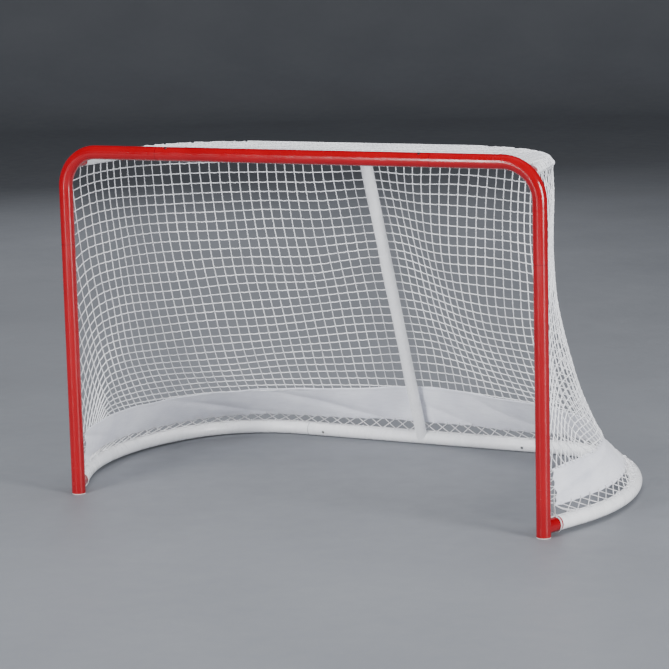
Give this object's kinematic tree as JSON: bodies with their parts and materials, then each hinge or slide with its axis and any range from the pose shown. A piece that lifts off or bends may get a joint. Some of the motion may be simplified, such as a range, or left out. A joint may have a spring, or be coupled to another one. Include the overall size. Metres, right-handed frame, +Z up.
{
  "type": "hockey goal net",
  "caption": "Full-size street hockey goal: bolted steel tube frame, bowed base, shelf tube and strut, with laced netting and a low fabric skirt.",
  "frame": {"origin": "on the floor, midway between the two posts and midway between the front of the posts and the back of the rear tube", "axes": "+X from the left post to the right post, seen from the front; +Y from the mouth to the back; +Z up"},
  "size_m": [2.1436, 1.2008, 1.3058],
  "materials": {
    "red_paint": "gloss",
    "white_paint": "semi-gloss",
    "screw_steel": "zinc plated",
    "cap_plastic": "matte",
    "netting": "twisted nylon twine",
    "skirt_cloth": "woven polyester",
    "lacing_cord": "braided cord"
  },
  "bodies": {
    "root": {"crossbar": "red_paint", "corner_left": "red_paint", "corner_right": "red_paint", "post_left": "red_paint", "post_right": "red_paint", "post_cap_left": "cap_plastic", "post_cap_right": "cap_plastic", "base_left": "white_paint", "base_centre": "white_paint", "base_right": "white_paint", "shelf_left": "white_paint", "shelf_centre": "white_paint", "shelf_right": "white_paint", "strut": "white_paint", "frame_screws": "screw_steel", "base_screws": "screw_steel", "shelf_screws": "screw_steel", "strut_screws": "screw_steel", "front_hooks": "red_paint", "base_hooks": "white_paint", "net_left": "netting", "net_back": "netting", "net_right": "netting", "net_top": "netting", "skirt_left": "skirt_cloth", "skirt_back": "skirt_cloth", "skirt_right": "skirt_cloth", "lacing_front": "lacing_cord", "lacing_base": "lacing_cord", "tie_left": "lacing_cord", "tie_right": "lacing_cord"}
  },
  "joints": []
}
